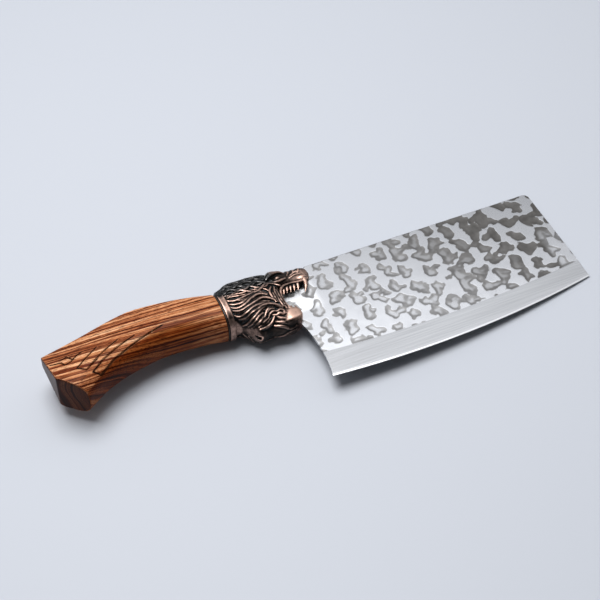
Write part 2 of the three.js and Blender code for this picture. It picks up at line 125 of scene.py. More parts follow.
# How far inside the hammered recesses each point lies, below zero on the polished ground. A recess is a
# short blunt bar with up to two branches, which grow longer towards the toe and run into each other. The
# outlines are pushed in and out in lobes and bumps.
def inside_recesses(x, y, seed):
    columns, pitch_x, rows, pitch_y, first_row, wander = 16, 13.0, 8, 13.4, 4, 1.7
    leans, half_lengths, radii = (-0.6, 0.9), (1, 3.6), (2.5, 3.5)
    branch_counts, branch_roots, branch_turns = (0, 1, 1, 2), (0.4, 1), (0.9, 1.8)
    branch_lengths, branch_radii, branch_thinning, longer_at_toe = (3.2, 5.4), (1.7, 2.4), 0.25, 0.6
    warp_size, warp_by, lobe_size, lobe_by, bump_size, bump_by = 9, 1.6, 4.6, 2.6, 2.3, 0.9
    larger, larger_at_toe = 0.6, 0.25
    chance = random.Random(seed)
    noise.seed_set(seed)
    warp = [noise.noise_vector(Vector((a / warp_size, b / warp_size, seed))) for a, b in zip(x, y)]
    warp = warp_by * np.array(warp)
    x, y = x + warp[:, 0], y + warp[:, 1]
    inside = np.full(x.shape, -9.0)
    for column in range(columns):
        for row in range(rows):
            middle_x = STUB_REAR_X + pitch_x * column + chance.uniform(-wander, wander)
            middle_y = SPINE_Y + first_row - pitch_y * (row + 0.5 * (column % 2))
            middle_y += chance.uniform(-wander, wander)
            lean = chance.uniform(*leans)
            half = chance.uniform(*half_lengths)
            longer = 1 + longer_at_toe * max(0, middle_x - HEEL_X) / EDGE_LENGTH
            bars = [(-half, half, lean, chance.uniform(*radii), 0)]
            for branch in range(chance.choice(branch_counts)):
                root = chance.choice((-1, 1)) * half * chance.uniform(*branch_roots)
                turn = lean + chance.choice((-1, 1)) * chance.uniform(*branch_turns)
                length = longer * chance.uniform(*branch_lengths)
                bars.append((0, length, turn, chance.uniform(*branch_radii), root))
            for start, end, angle, radius, root in bars:
                from_x = x - middle_x - root * math.sin(lean)
                from_y = y - middle_y + root * math.cos(lean)
                along = np.clip(from_x * math.sin(angle) - from_y * math.cos(angle), start, end)
                away = np.hypot(from_x - along * math.sin(angle), from_y + along * math.cos(angle))
                thinner = branch_thinning * radius * along / end if start == 0 else 0
                inside = np.maximum(inside, radius - thinner - away)
    lobes = [noise.noise(Vector((a / lobe_size, b / lobe_size, seed))) for a, b in zip(x, y)]
    bumps = [noise.noise(Vector((a / bump_size, b / bump_size, seed + 5))) for a, b in zip(x, y)]
    inside += larger + larger_at_toe * soft_step((x - HEEL_X) / EDGE_LENGTH)
    return inside + lobe_by * np.array(lobes) + bump_by * np.array(bumps)


# Marks a mesh's vertices, edges or faces as the only ones selected, and opens it for editing.
def select_only(piece, part, chosen):
    mesh = piece.data
    for elements in (mesh.vertices, mesh.edges, mesh.polygons):
        elements.foreach_set("select", np.zeros(len(elements), bool))
    getattr(mesh, part).foreach_set("select", np.asarray(chosen, bool))
    modes = ("vertices", "edges", "polygons")
    bpy.context.tool_settings.mesh_select_mode = [mode == part for mode in modes]
    bpy.ops.object.mode_set(mode="EDIT")


# The vertices' places as an array, one row each.
def places(piece):
    flat = np.empty(3 * len(piece.data.vertices))
    piece.data.vertices.foreach_get("co", flat)
    return flat.reshape(-1, 3)


# Moves the vertices to new places.
def reshape(piece, points):
    piece.data.vertices.foreach_set("co", np.asarray(points).ravel())
    piece.data.update()


# Adds a modifier with its settings and applies it.
def modify(piece, kind, **settings):
    bpy.context.view_layer.objects.active = piece
    modifier = piece.modifiers.new(kind.title(), kind)
    for name, value in settings.items():
        setattr(modifier, name, value)
    bpy.ops.object.modifier_apply(modifier=modifier.name)


# Makes a piece the only one selected, and the active one.
def pick(piece):
    bpy.ops.object.select_all(action="DESELECT")
    piece.select_set(True)
    bpy.context.view_layer.objects.active = piece


# The vertices' normals as an array, one row each.
def normals(piece):
    flat = np.empty(3 * len(piece.data.vertices))
    piece.data.vertex_normals.foreach_get("vector", flat)
    return flat.reshape(-1, 3)


# Names the new primitive.
def named(name):
    piece = bpy.context.object
    piece.name = piece.data.name = name
    return piece


# Turns all faces of the active mesh outward.
def turn_outward():
    bpy.ops.object.mode_set(mode="EDIT")
    bpy.ops.mesh.select_all(action="SELECT")
    bpy.ops.mesh.normals_make_consistent(inside=False)
    bpy.ops.object.mode_set(mode="OBJECT")


# Keeps a number for each vertex, for a material to read.
def keep_value(piece, name, values):
    attribute = piece.data.attributes.new(name, "FLOAT", "POINT")
    attribute.data.foreach_set("value", np.asarray(values, np.float32))


bpy.ops.mesh.primitive_grid_add(x_subdivisions=COLUMNS, y_subdivisions=ROWS, size=1)
blade = named("blade_hammered")
modify(blade, "SOLIDIFY", thickness=1, offset=-1)

# The grid's columns run from heel to toe, closer near the rounded corner, and its rows from edge to spine
grid = places(blade)
share = grid[:, 0] + 0.5
share = (1 + CROWDED) * share - CROWDED * share ** CROWDED_TO_TOE
row = np.rint((grid[:, 1] + 0.5) * ROWS).astype(int)
upper = grid[:, 2] > -0.5


# Height of the grid's rows at x: the edge, the micro-bevel, the bevel, the side and the eased spine.
def row_y(row, x):
    edge = bowed(HEEL_Y, TOE_Y, EDGE_BOW, x)
    bevel = bowed(HEEL_Y + BEVEL_AT_HEEL, TOE_Y + BEVEL_AT_TOE, BEVEL_BOW, x)
    spine = spine_y(x)
    on_bevel = edge + MICRO_BEVEL + (bevel - edge - MICRO_BEVEL) * (row - 1) / (BEVEL_ROWS - 1)
    on_side = bevel + (spine - EASED - bevel) * (row - BEVEL_ROWS) / (FACE_ROWS - 1)
    return np.select([row == 0, row <= BEVEL_ROWS, row < ROWS], [edge, on_bevel, on_side], spine)


at_heel = row_y(row, np.full(len(row), float(HEEL_X)))
fall = np.clip((CHOIL_TOP_Y - at_heel) / (CHOIL_TOP_Y - HEEL_Y), 0, 1)
rear = CHOIL_TOP_X + (HEEL_X - CHOIL_TOP_X) * fall + 4 * CHOIL_BOW * fall * (1 - fall)
x = rear + (TOE_X - rear) * share
y = row_y(row, x)

bevel_y = row_y(np.full(len(row), BEVEL_ROWS), x)
taper = SPINE_HALF + (TOE_HALF - SPINE_HALF) * np.clip((x - HEEL_X) / EDGE_LENGTH, 0, 1)
half = BEVEL_HALF + (taper - BEVEL_HALF) * (y - bevel_y) / (TAPER_TOP_Y - bevel_y)
ground = MICRO_HALF + (BEVEL_HALF - MICRO_HALF) * (row - 1) / (BEVEL_ROWS - 1)
half = np.select([row == 0, row <= BEVEL_ROWS], [EDGE_HALF, ground], half)
in_jaws = (y > STUB_BOTTOM_Y) & (x < NOSE_X)
border = (row == ROWS) | (share > 0.9999)
half = np.where(border & (row > 1) & ~in_jaws, half - EASED, half)

inside = np.where(upper, inside_recesses(x, y, UPPER_DRAW), inside_recesses(x, y, LOWER_DRAW))
inside = np.minimum(inside, (y - bevel_y - RECESS_OFF_BEVEL) / (2 * RECESS_OFF_BEVEL))
half = half - RECESS_DEPTH * soft_step(inside / RECESS_SLOPE)
lean = TOE_LEAN * np.clip((x - HEEL_X) / EDGE_LENGTH, 0, 1)
lean *= np.clip((y - TOE_Y) / (SPINE_Y - TOE_Y), 0, 1)
reshape(blade, np.stack([x - lean, y, np.where(upper, half, -half)], 1))

# The polishing wheel reaches the floors of the recesses near the heel and along the toe, and less so
# elsewhere. Between the jaws the ground stays matt. A thin line along the spine and the toe is dull and dark,
# partly unpolished steel and partly painted shade, and the honed edge is lighter, partly its finish and
# partly a painted highlight.
WHEEL_FROM_X = HEEL_X + 50
WHEEL_FADE_X = 110
WHEEL_FROM_Y = -20
WHEEL_FADE_Y = 130
TOE_BAND_X = TOE_X - 15
TOE_BAND_TOP_Y = -12
JAWS_MATT_TO_X = NOSE_X + 2
JAWS_MATT_FROM_Y = -19
DULL_LINE = 0.1
INSIDE_RANGE = (-0.9, 4)
reached = 1 - soft_step((x - WHEEL_FROM_X) / WHEEL_FADE_X + (y - WHEEL_FROM_Y) / WHEEL_FADE_Y)
at_toe = soft_step((x - TOE_BAND_X) / 6) * soft_step((TOE_BAND_TOP_Y - y) / 12)
reached = np.maximum(reached, at_toe)
between_jaws = soft_step((JAWS_MATT_TO_X - x) / 8) * soft_step((y - JAWS_MATT_FROM_Y) / 6)
dull_line_shade = ((row >= ROWS - 1) | (x > TOE_X - EASED)) & ~in_jaws
keep_value(blade, "inside", np.where(dull_line_shade, DULL_LINE, np.clip(inside, *INSIDE_RANGE)))
keep_value(blade, "reached", np.where(dull_line_shade, 0, reached))
keep_value(blade, "between_jaws", between_jaws)
keep_value(blade, "bevel", (row <= BEVEL_ROWS).astype(float))
keep_value(blade, "honed_highlight", (row <= 1).astype(float))


# Cuts a tool out of a piece, and clears the tool away.
def cut(piece, tool):
    modify(piece, "BOOLEAN", operation="DIFFERENCE", solver="MANIFOLD", object=tool)
    bpy.data.objects.remove(tool)


# A round bar from one point to another, as a tool to cut with.
def round_bar(name, radius, start, end, sides=24):
    along = Vector(end) - Vector(start)
    bpy.ops.mesh.primitive_cylinder_add(vertices=sides, radius=radius, depth=along.length,
                                        rotation=along.to_track_quat("Z", "Y").to_euler(),
                                        location=(Vector(start) + Vector(end)) / 2)
    bpy.ops.object.transform_apply(location=True, rotation=True, scale=True)
    return named(name)


# Draws the faces of the blade's rear end between two heights out to x, and stays in edit mode.
def draw_out(rear_x, bottom_y, top_y, to_x):
    middles = np.array([face.center for face in blade.data.polygons])
    facing = np.array([face.normal.x for face in blade.data.polygons]) < -0.9
    chosen = facing & (middles[:, 0] < rear_x + 0.1) & (middles[:, 1] > bottom_y) & (middles[:, 1] < top_y)
    select_only(blade, "polygons", chosen)
    bpy.ops.mesh.extrude_region_move(TRANSFORM_OT_translate={"value": (to_x - rear_x, 0, 0)})


# The stub between the jaws and the tang are drawn out of the rear end, and the bevel's line stays crisp
draw_out(CHOIL_TOP_X, STUB_BOTTOM_Y, STUB_TOP_Y, STUB_REAR_X)
bpy.ops.object.mode_set(mode="OBJECT")
draw_out(STUB_REAR_X, TANG_BOTTOM_Y, TANG_TOP_Y, -TANG_LENGTH)
slim = TANG_TIP_HEIGHT / (TANG_TOP_Y - TANG_BOTTOM_Y)
bpy.ops.transform.resize(value=(1, slim, 1), center_override=(-TANG_LENGTH, TANG_TIP_Y, 0))
bpy.ops.object.mode_set(mode="OBJECT")

ends = np.array([edge.vertices for edge in blade.data.edges])
line = np.append(row == BEVEL_ROWS, np.zeros(len(blade.data.vertices) - len(row), bool))
select_only(blade, "edges", line[ends].all(1))
bpy.ops.mesh.mark_sharp()
turn_outward()

# A notch for the pin in the tang's lower edge
notch_ends = (PIN_X, NOTCH_BOTTOM_Y, 0), (PIN_X, PIN_HOLE_TOP_Y, 0)
cut(blade, round_bar("notch", PIN_HOLE_RADIUS, *notch_ends))
pick(blade)
bpy.ops.object.shade_smooth_by_angle(angle=math.radians(35), keep_sharp_edges=True)


# One colour, written as sRGB hex, in the linear light that the shaders use.
def linear(colour):
    levels = [int(colour[i:i + 2], 16) / 255 for i in (1, 3, 5)]
    return [v / 12.92 if v <= 0.04045 else ((v + 0.055) / 1.055) ** 2.4 for v in levels] + [1]


# Adds a node to a tree: its settings by name, its inputs by name or number, each a value or a link,
# and for a colour ramp its stops.
def add(tree, kind, inputs=None, stops=None, **settings):
    node = tree.nodes.new("ShaderNode" + kind)
    for name, value in settings.items():
        setattr(node, name, value)
    for key, value in (inputs or {}).items():
        if isinstance(value, bpy.types.NodeSocket):
            tree.links.new(value, node.inputs[key])
        else:
            node.inputs[key].default_value = value
    for i, (place, colour) in enumerate(stops or []):
        elements = node.color_ramp.elements
        stop = elements[i] if i < 2 else elements.new(place)
        stop.position = place
        stop.color = linear(colour)
    return node


# Starts a material, with its surface shader and the knife's own frame in mm as pattern space.
def start_material(name):
    material = bpy.data.materials.new(name)
    material.use_nodes = True
    tree = material.node_tree
    place = add(tree, "TexCoord")
    frame_mm = {"Vector": place.outputs["Object"], "Location": JOINT_PLACE, "Rotation": (0, PITCH, 0),
                "Scale": (MM, MM, MM)}
    mm = add(tree, "Mapping", frame_mm, vector_type="TEXTURE")
    return material, tree, tree.nodes["Principled BSDF"], mm.outputs["Vector"]


# A number that was kept for each vertex, as a material reads it.
def kept(tree, name):
    return add(tree, "Attribute", attribute_name=name).outputs["Fac"]


# A noise pattern, from the sizes in mm of what it draws along each axis.
def mottle(tree, at, sizes, detail, roughness=0.5, shift=(0, 0, 0)):
    at = add(tree, "Mapping", {"Vector": at, "Location": shift, "Scale": [1 / size for size in sizes]})
    pattern = {"Vector": at.outputs["Vector"], "Scale": 1, "Detail": detail, "Roughness": roughness}
    return add(tree, "TexNoise", pattern).outputs["Fac"]


# A colour from a pattern, through the stops of a ramp.
def tinted(tree, pattern, stops):
    return add(tree, "ValToRGB", {"Fac": pattern}, stops).outputs["Color"]


# A number taken from one range to another, and held at the ends.
def ranged(tree, value, start, end, to_start=0, to_end=1, kind="LINEAR"):
    numbers = {"Value": value, "From Min": start, "From Max": end, "To Min": to_start, "To Max": to_end}
    return add(tree, "MapRange", numbers, interpolation_type=kind).outputs["Result"]


# A sum, difference or product of numbers.
def worked_out(tree, operation, *numbers):
    return add(tree, "Math", dict(enumerate(numbers)), operation=operation).outputs[0]


# Two colours mixed by a share, or the second one laid over the first like a glaze.
def mixed(tree, share, first, second, blend="MIX"):
    mix = {0: share, 6: first, 7: second}
    return add(tree, "Mix", mix, data_type="RGBA", blend_type=blend).outputs[2]


# Two numbers mixed by a share.
def between(tree, share, first, second):
    return add(tree, "Mix", {0: share, 2: first, 3: second}, data_type="FLOAT").outputs[0]


# Lays a finished piece in its place on the table with its material, on the body that it belongs to, and hides
# the part that it stands in for.
def lay(piece, material, node):
    piece.matrix_world = LAID
    bpy.ops.object.transform_apply(location=True, rotation=True, scale=True)
    piece.data.materials.clear()
    piece.data.materials.append(material)
    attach(piece, "root")
    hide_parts(node)


# Stainless steel, hammered, ground and polished. The ground mirrors softly, the recesses keep the dull grey
# of the hammered skin with a darker rim, and the bevel has the satin lines of the grinding belt.
def blade_steel():
    material, tree, shader, mm = start_material("polished_hammered_steel")
    inside = kept(tree, "inside")
    bevel = kept(tree, "bevel")
    honed_highlight = ranged(tree, kept(tree, "honed_highlight"), 0.85, 1)

    # A recess starts at a crisp rim. Where the wheel reached its floor, the middle is brighter.
    rim = ranged(tree, inside, -0.3, 0.3, kind="SMOOTHSTEP")
    floor = ranged(tree, inside, 1.4, 3.6, 0.2, 0.85, "SMOOTHSTEP")
    polished = worked_out(tree, "MULTIPLY", kept(tree, "reached"), floor)
    dull = worked_out(tree, "SUBTRACT", 1, polished)
    recess = worked_out(tree, "MULTIPLY", rim, dull)

    # Belt lines 0.2 mm apart, drawn at 0.6 mm so that they show, and clouds 9 mm wide
    lines = mottle(tree, mm, (40, 0.6, 1), 3)
    cloud = mottle(tree, mm, (9, 9, 1), 5)
    satin = tinted(tree, lines, [(0.3, "#B2B3B5"), (0.7, "#C3C4C6")])
    skin = tinted(tree, cloud, [(0.35, "#575553"), (0.65, "#6C6A68")])
    bright = tinted(tree, cloud, [(0.3, "#DADBDE"), (0.7, "#E6E7EA")])

    # Painted shade in the steel's mirror: the ground is darker towards the spine, and the bevel towards the
    # heel
    at = add(tree, "SeparateXYZ", {"Vector": mm}).outputs
    height = ranged(tree, at["Y"], HEEL_Y + BEVEL_AT_HEEL, SPINE_Y)
    ground = mixed(tree, height, bright, linear("#CACBCE"))
    heel_shade = ranged(tree, at["X"], HEEL_X, HEEL_X + EDGE_LENGTH / 2, 1, 0)
    satin = mixed(tree, heel_shade, satin, linear("#E2E2E2"), "MULTIPLY")
    side = mixed(tree, recess, ground, skin)
    colour = mixed(tree, bevel, side, satin)
    # The honed edge is lighter than the bevel, partly its finish and partly a painted highlight
    colour = mixed(tree, honed_highlight, colour, linear("#D0D1D3"))
    tree.links.new(colour, shader.inputs["Base Color"])

    # Mirror-like ground, rough recesses, matt steel between the jaws, satin bevel and stoned edge
    rough = ranged(tree, recess, 0, 1, 0.2, 0.5)
    rough = between(tree, kept(tree, "between_jaws"), rough, 0.5)
    rough = between(tree, bevel, rough, 0.24)
    rough = between(tree, honed_highlight, rough, 0.42)
    tree.links.new(rough, shader.inputs["Roughness"])
    shader.inputs["Metallic"].default_value = 1
    return material


lay(blade, blade_steel(), "blade")

# Bolster
# One casting in copper alloy, a roaring beast's head that grips the blade between its jaws. Mane locks sweep
# back to a plain ring, and the smooth underside ends in a finger stop. It is slid over the tang, bedded in
# resin and pinned. The caster blackened it and rubbed the high points bright.
MOUTH_X = 38.5
CHIN_X = 45.5
RING_HALF_HEIGHT = 15.1
RING_HALF_WIDTH = 13.3
RING_FROM = 0.6
RING_TO = 4.2
MANE_BED = 1.0
CLEARANCE = 0.3
HEAD_VOXEL = 0.37
HEAD_SQUARENESS = 2.3
JAW_SQUARENESS = 5
RING_SQUARENESS = 2.5


# Stations of a line that stays level.
def steady(value):
    return [(0, value), (1, value)]


SKULL = {
    "ends": (3, MOUTH_X),
    "top": [(3, 14.6), (6, 18), (10, 20.2), (21, 20.3), (31, 20), (MOUTH_X, 19.6)],
    "bottom": [(3, -13.4), (8, -14), (12, -18.4), (15.5, -24.6), (18, -25), (23, -24), (31, -25.4),
               (MOUTH_X, -25.4)],
    "half": [(3, 12.3), (12, 12.6), (22, 12.4), (31, 11.4), (MOUTH_X, 9.2)],
    "waist": [(3, 0), (14, -3), (MOUTH_X, -3)],
    "squareness": steady(HEAD_SQUARENESS),
}
SNOUT = {
    "ends": (MOUTH_X - 6, NOSE_X),
    "top": [(34, 16), (42, 18), (47, 17), (53, 16.6), (59, 16.2), (62, 14.5), (NOSE_X, 12.5)],
    "bottom": [(34, -2), (42, 2.2), (48, 3.6), (56, 3.2), (60, 4.2), (62, 7), (NOSE_X, 9.5)],
    "half": [(34, 8.5), (42, 8), (48, 6.6), (55, 6), (60, 5.4), (62, 4), (NOSE_X, 1.8)],
    "waist": [(34, 6), (48, 9), (NOSE_X, 11)],
    "squareness": steady(HEAD_SQUARENESS),
}
JAW = {
    "ends": (MOUTH_X - 12, CHIN_X),
    "top": [(28, -9), (36, -12.2), (41, -14), (44, -15), (CHIN_X, -16.6)],
    "bottom": [(28, -23), (36, -25.2), (42, -24.2), (44.6, -22.6), (CHIN_X, -20.5)],
    "half": [(28, 6), (36, 8), (42, 7.4), (44.6, 6.6), (CHIN_X, 5.4)],
    "waist": [(28, -18), (CHIN_X, -20)],
    "squareness": steady(JAW_SQUARENESS),
}
RING = {
    "ends": (RING_FROM, RING_TO),
    "top": steady(RING_HALF_HEIGHT),
    "bottom": steady(-RING_HALF_HEIGHT),
    "half": steady(RING_HALF_WIDTH),
    "squareness": steady(RING_SQUARENESS),
}

# Mane: the thickness of each lock, and its line on the side of the head from its tip to its root
MANE = [
    (0.9, [(4, 2), (8, -0.5), (13, -0.5), (19, 0.5), (25, 1), (29, -2)]),
    (1.25, [(4, -4), (8.5, -6.5), (13.5, -6), (19.5, -3), (25, -1.5), (29.5, -3.5)]),
    (1.1, [(4.5, -6.5), (9.5, -8.5), (14.5, -8), (20, -6.5), (25.5, -5), (29.5, -6.5), (32.5, -9)]),
    (1.2, [(4.5, -9), (8, -11), (12.5, -11.5), (17, -10), (23.5, -9), (28, -9.5)]),
    (1.25, [(7, -11.5), (11, -13.5), (15.5, -13), (19.5, -12), (24, -10.5), (28.5, -11), (32.5, -13),
            (34.5, -15.5)]),
    (1.1, [(8.5, -14), (11.5, -16), (14.5, -16.5), (18.5, -14.5), (23, -12), (26, -11.5)]),
    (1.0, [(11, -16.5), (15, -18.5), (18.5, -16.5), (22, -15)]),
    (1.0, [(12.5, -18.5), (17, -20), (21, -17.5)]),
    (0.95, [(14, -21), (19.5, -20.5), (23, -19)]),
    (1.0, [(16, -23), (21, -22.5), (24.5, -21.5), (27.5, -19)]),
]
CHEEK_HAIR = [
    [(5, 5.5), (10, 4.5), (16, 3.5), (22, 3.5), (27, 2.5)],
    [(5.5, 3.8), (10, 2.8), (15, 1.8), (20, 2)],
    [(5, 0.2), (9.5, -1), (13.5, -1.8), (18, -1.2)],
    [(4.5, -2), (8.5, -3.6), (12.5, -4), (16.5, -2.8)],
    [(24, 4.5), (28, 3), (31, 0), (32, -3)],
    [(27, 6.5), (31, 7.5), (34, 9), (37, 10)],
    [(29, 4), (33, 5), (36.5, 6.5)],
]
FINE_HAIR = 0.55

# Hair on top: lines fanned out over the head, which wave from the ring to the brow
HAIR_LINES = 14
HAIR_FROM = math.radians(8)
HAIR_TO = math.radians(76)
HAIR_WAVE = math.radians(6)
HAIR_REAR_X = 5
HAIR_LENGTH = 28
HAIR_LONGER = 0.5
HAIR_WAVES = 11
HAIR_OUT_OF_STEP = 2.1
HAIR_OVER_RING = (0, 0.3, 0.2)
HAIR_THIN = 0.65
HAIR_THICK = 0.9

# Face: each strand's points on the upper side, and its radius at each
FACE = {
    "lip": ([(60, 4.8, 4.6), (54, 3.4, 5.6), (47, 3.2, 6.8), (41, 1, 8.4), (38.2, -4, 9.2), (37.6, -9, 9),
             (38.6, -13.5, 7.8), (42, -17, 5.8)], [0.7, 0.9, 0.9, 0.9, 0.8, 0.8, 0.8, 0.6]),
    "fold at the lip": ([(36.6, 0, 9.8), (36.4, -5, 9.9), (36.6, -10, 9.4), (37.4, -14, 8.6)],
                        [0.3, 0.6, 0.6, 0.3]),
    "cheek fold": ([(36.5, 3, 9.6), (35, -2, 10.2), (34.8, -7.5, 10.3), (35.4, -12.5, 9.6), (37, -16, 8.6)],
                   [0.3, 0.7, 0.75, 0.7, 0.4]),
    "short fold": ([(33.4, -2.5, 10.9), (33.2, -6.5, 10.9), (33.6, -10.5, 10.5)], [0.3, 0.75, 0.3]),
    "rear fold": ([(34.6, 3, 10.2), (31.8, -1, 11.2), (31.6, -6, 11.3), (32.4, -10.5, 10.8)],
                  [0.4, 0.75, 0.8, 0.4]),
    "brow": ([(47.5, 13.2, 5.8), (44, 14.2, 7), (40, 13.4, 8.6), (36, 11, 10), (33.5, 8.5, 10.8)],
             [0.6, 1.2, 1.4, 1.1, 0.5]),
    "fold on the brow": ([(46, 16, 4.2), (42, 16.8, 5.4), (38, 15.6, 7.4), (34.5, 13.2, 9)],
                         [0.4, 0.9, 1.0, 0.5]),
    "eyelid": ([(46.5, 8.4, 6.9), (43, 6.8, 8.2), (39.5, 6, 9), (36.5, 6.6, 9.6)], [0.5, 0.9, 0.9, 0.5]),
    "upper fang": ([(57.6, 5, 4.6), (56.6, -0.3, 4.9), (53.8, -5.5, 4.4)], [1.7, 1.3, 0.1]),
    "lower fang": ([(43, -17.5, 4.4), (43.8, -15, 4.8), (43.4, -12, 4.8)], [1.2, 0.9, 0.1]),
    "lower tooth": ([(40.4, -16, 6.2), (40.8, -14, 6.4), (40.6, -12.2, 6.4)], [0.9, 0.7, 0.1]),
    # The gum lies in the mouth's painted shade, a dark mass behind the teeth
    "gum": ([(41.5, 2, 4.2), (48, 2.6, 4), (56, 2.9, 3.6)], [1.2, 1.4, 1.1]),
}
JAW_TUFTS = [
    [(27, -14.5), (30, -16.5), (33, -16), (34.5, -17.5), (33.5, -19)],
    [(26, -17.5), (29, -18.5), (31.5, -18), (33.5, -18.8), (36, -18.2)],
    [(30.5, -13), (33.5, -14.2), (36, -14), (37.5, -15.8)],
    [(20.5, -19.5), (22.5, -16.8), (25, -14), (27.5, -12.8)],
    [(22.5, -17.5), (24.5, -15.5), (27, -14.2), (29.5, -14.5)],
    [(23.5, -19), (25.5, -17), (28, -16), (30.5, -16.5)],
]
TUFT = 0.9
JAW_RIDGES = [
    [(39.6, -20.2), (35, -21.6), (31.5, -21), (28, -18.8)],
    [(39.8, -22.8), (35.5, -23.8), (31.5, -23), (27, -21.6)],
    [(39.6, -25.2), (35.5, -25.4), (30.5, -24.4), (25.5, -23)],
]
NOSE_FOLDS_X = (49, 52.5, 56)
MUZZLE_WRINKLES = [
    [(57, 9.4), (53, 9.2), (49, 8)],
    [(58.5, 11.6), (54.5, 11.6), (50.5, 10)],
]
TEETH = 5
FIRST_TOOTH_X = 42.4
TOOTH_PITCH = 2.5
TOOTH = [(0, 0, 0), (-0.7, -3.2, 0.1), (-2, -7.2, -0.2)]
TOOTH_RADII = [1.2, 0.95, 0.12]
TOOTH_IN_GUM = 0.8
TOOTH_IN_LIP = 1


# A smooth line through stations (x, value), read at many x.
def smooth_line(stations, x):
    at, value = np.array(stations, float).T
    slope = np.gradient(value, at)
    slope[1:-1] = (value[2:] - value[:-2]) / (at[2:] - at[:-2])
    i = np.clip(np.searchsorted(at, x) - 1, 0, len(at) - 2)
    span = at[i + 1] - at[i]
    t = np.clip((x - at[i]) / span, 0, 1)
    rise, start, end = value[i + 1] - value[i], slope[i] * span, slope[i + 1] * span
    return value[i] + start * t + (3 * rise - 2 * start - end) * t ** 2 + (start + end - 2 * rise) * t ** 3


# Points of a form's rounded sections at x, turned round from the top towards the upper side.
def section_points(form, x, turn):
    power = 2 / smooth_line(form["squareness"], x)
    rise, spread = (np.sign(way) * np.abs(way) ** power for way in (np.cos(turn), np.sin(turn)))
    top, bottom, half = (smooth_line(form[key], x) for key in ("top", "bottom", "half"))
    waist = smooth_line(form["waist"], x) if "waist" in form else (top + bottom) / 2
    y = waist + rise * np.where(rise > 0, top - waist, waist - bottom)
    return np.stack([x, y, half * spread], 1)


# A point on the upper side of a form.
def on_side(form, x, y):
    keys = ("top", "bottom", "half", "squareness")
    top, bottom, half, squareness = (float(smooth_line(form[key], x)) for key in keys)
    waist = float(smooth_line(form["waist"], x)) if "waist" in form else (top + bottom) / 2
    rise = min(abs(y - waist) / (top - waist if y > waist else waist - bottom), 1)
    return (x, y, half * (1 - rise ** squareness) ** (1 / squareness))


# A form in the round: a cylinder cut into rings, each given its section. Its sides can be set back as a bed
# for hair.
def loft(name, form, rings=48, sides=80, bed=0.0):
    bpy.ops.mesh.primitive_cylinder_add(vertices=sides, radius=1, depth=1)
    piece = named(name)
    height = places(piece)[:, 2]
    ends = np.array([edge.vertices for edge in piece.data.edges])
    select_only(piece, "edges", np.abs(np.ptp(height[ends], axis=1)) > 0.5)
    bpy.ops.mesh.subdivide(number_cuts=rings - 1)
    bpy.ops.object.mode_set(mode="OBJECT")
    points = places(piece)
    x = form["ends"][0] + (points[:, 2] + 0.5) * (form["ends"][1] - form["ends"][0])
    shaped = section_points(form, x, np.arctan2(points[:, 1], points[:, 0]))
    shaped[:, 2] *= 1 - bed / np.max(np.abs(shaped[:, 2]))
    reshape(piece, shaped)
    return piece


# Gives the new primitive its size, its place and its name.
def placed(name, size, middle):
    bpy.ops.object.mode_set(mode="EDIT")
    bpy.ops.mesh.select_all(action="SELECT")
    bpy.ops.transform.resize(value=size)
    bpy.ops.transform.translate(value=middle)
    bpy.ops.object.mode_set(mode="OBJECT")
    return named(name)


# An egg with its own radius along each axis.
def egg(name, middle, radii):
    bpy.ops.mesh.primitive_uv_sphere_add(segments=32, ring_count=20, radius=1)
    return placed(name, radii, middle)


# Strands along points, each with a radius at every point, as one mesh. Without roundness they have four
# sides.
def strands(name, lines, roundness=3, bend="AUTO"):
    curve = bpy.data.curves.new(name, "CURVE")
    curve.dimensions = "3D"
    curve.bevel_depth = 1
    curve.bevel_resolution = roundness
    curve.resolution_u = 6
    curve.use_fill_caps = True
    for points, radii in lines:
        spline = curve.splines.new("BEZIER")
        spline.bezier_points.add(len(points) - 1)
        for knot, point, radius in zip(spline.bezier_points, points, radii):
            knot.co = point
            knot.radius = radius
            knot.handle_left_type = knot.handle_right_type = bend
    piece = bpy.data.objects.new(name, curve)
    bpy.context.collection.objects.link(piece)
    pick(piece)
    bpy.ops.object.convert(target="MESH")
    bpy.ops.object.mode_set(mode="EDIT")
    bpy.ops.mesh.select_all(action="SELECT")
    bpy.ops.mesh.remove_doubles(threshold=0.001)
    turn_outward()
    return piece


# The radii of a lock that is thin at its tip, full in the middle and narrower at its root.
def lock_radii(count, thickness):
    swell = np.sin(np.pi * np.linspace(0.08, 0.85, count))
    return (thickness * (0.25 + 0.75 * swell)).tolist()


# A line on the side of a form as a lock of hair.
def lock(form, line, thickness):
    return [on_side(form, x, y) for x, y in line], lock_radii(len(line), thickness)


# Joins pieces into the first one.
def join(pieces):
    pick(pieces[0])
    for piece in pieces:
        piece.select_set(True)
    bpy.ops.object.join()
    return pieces[0]


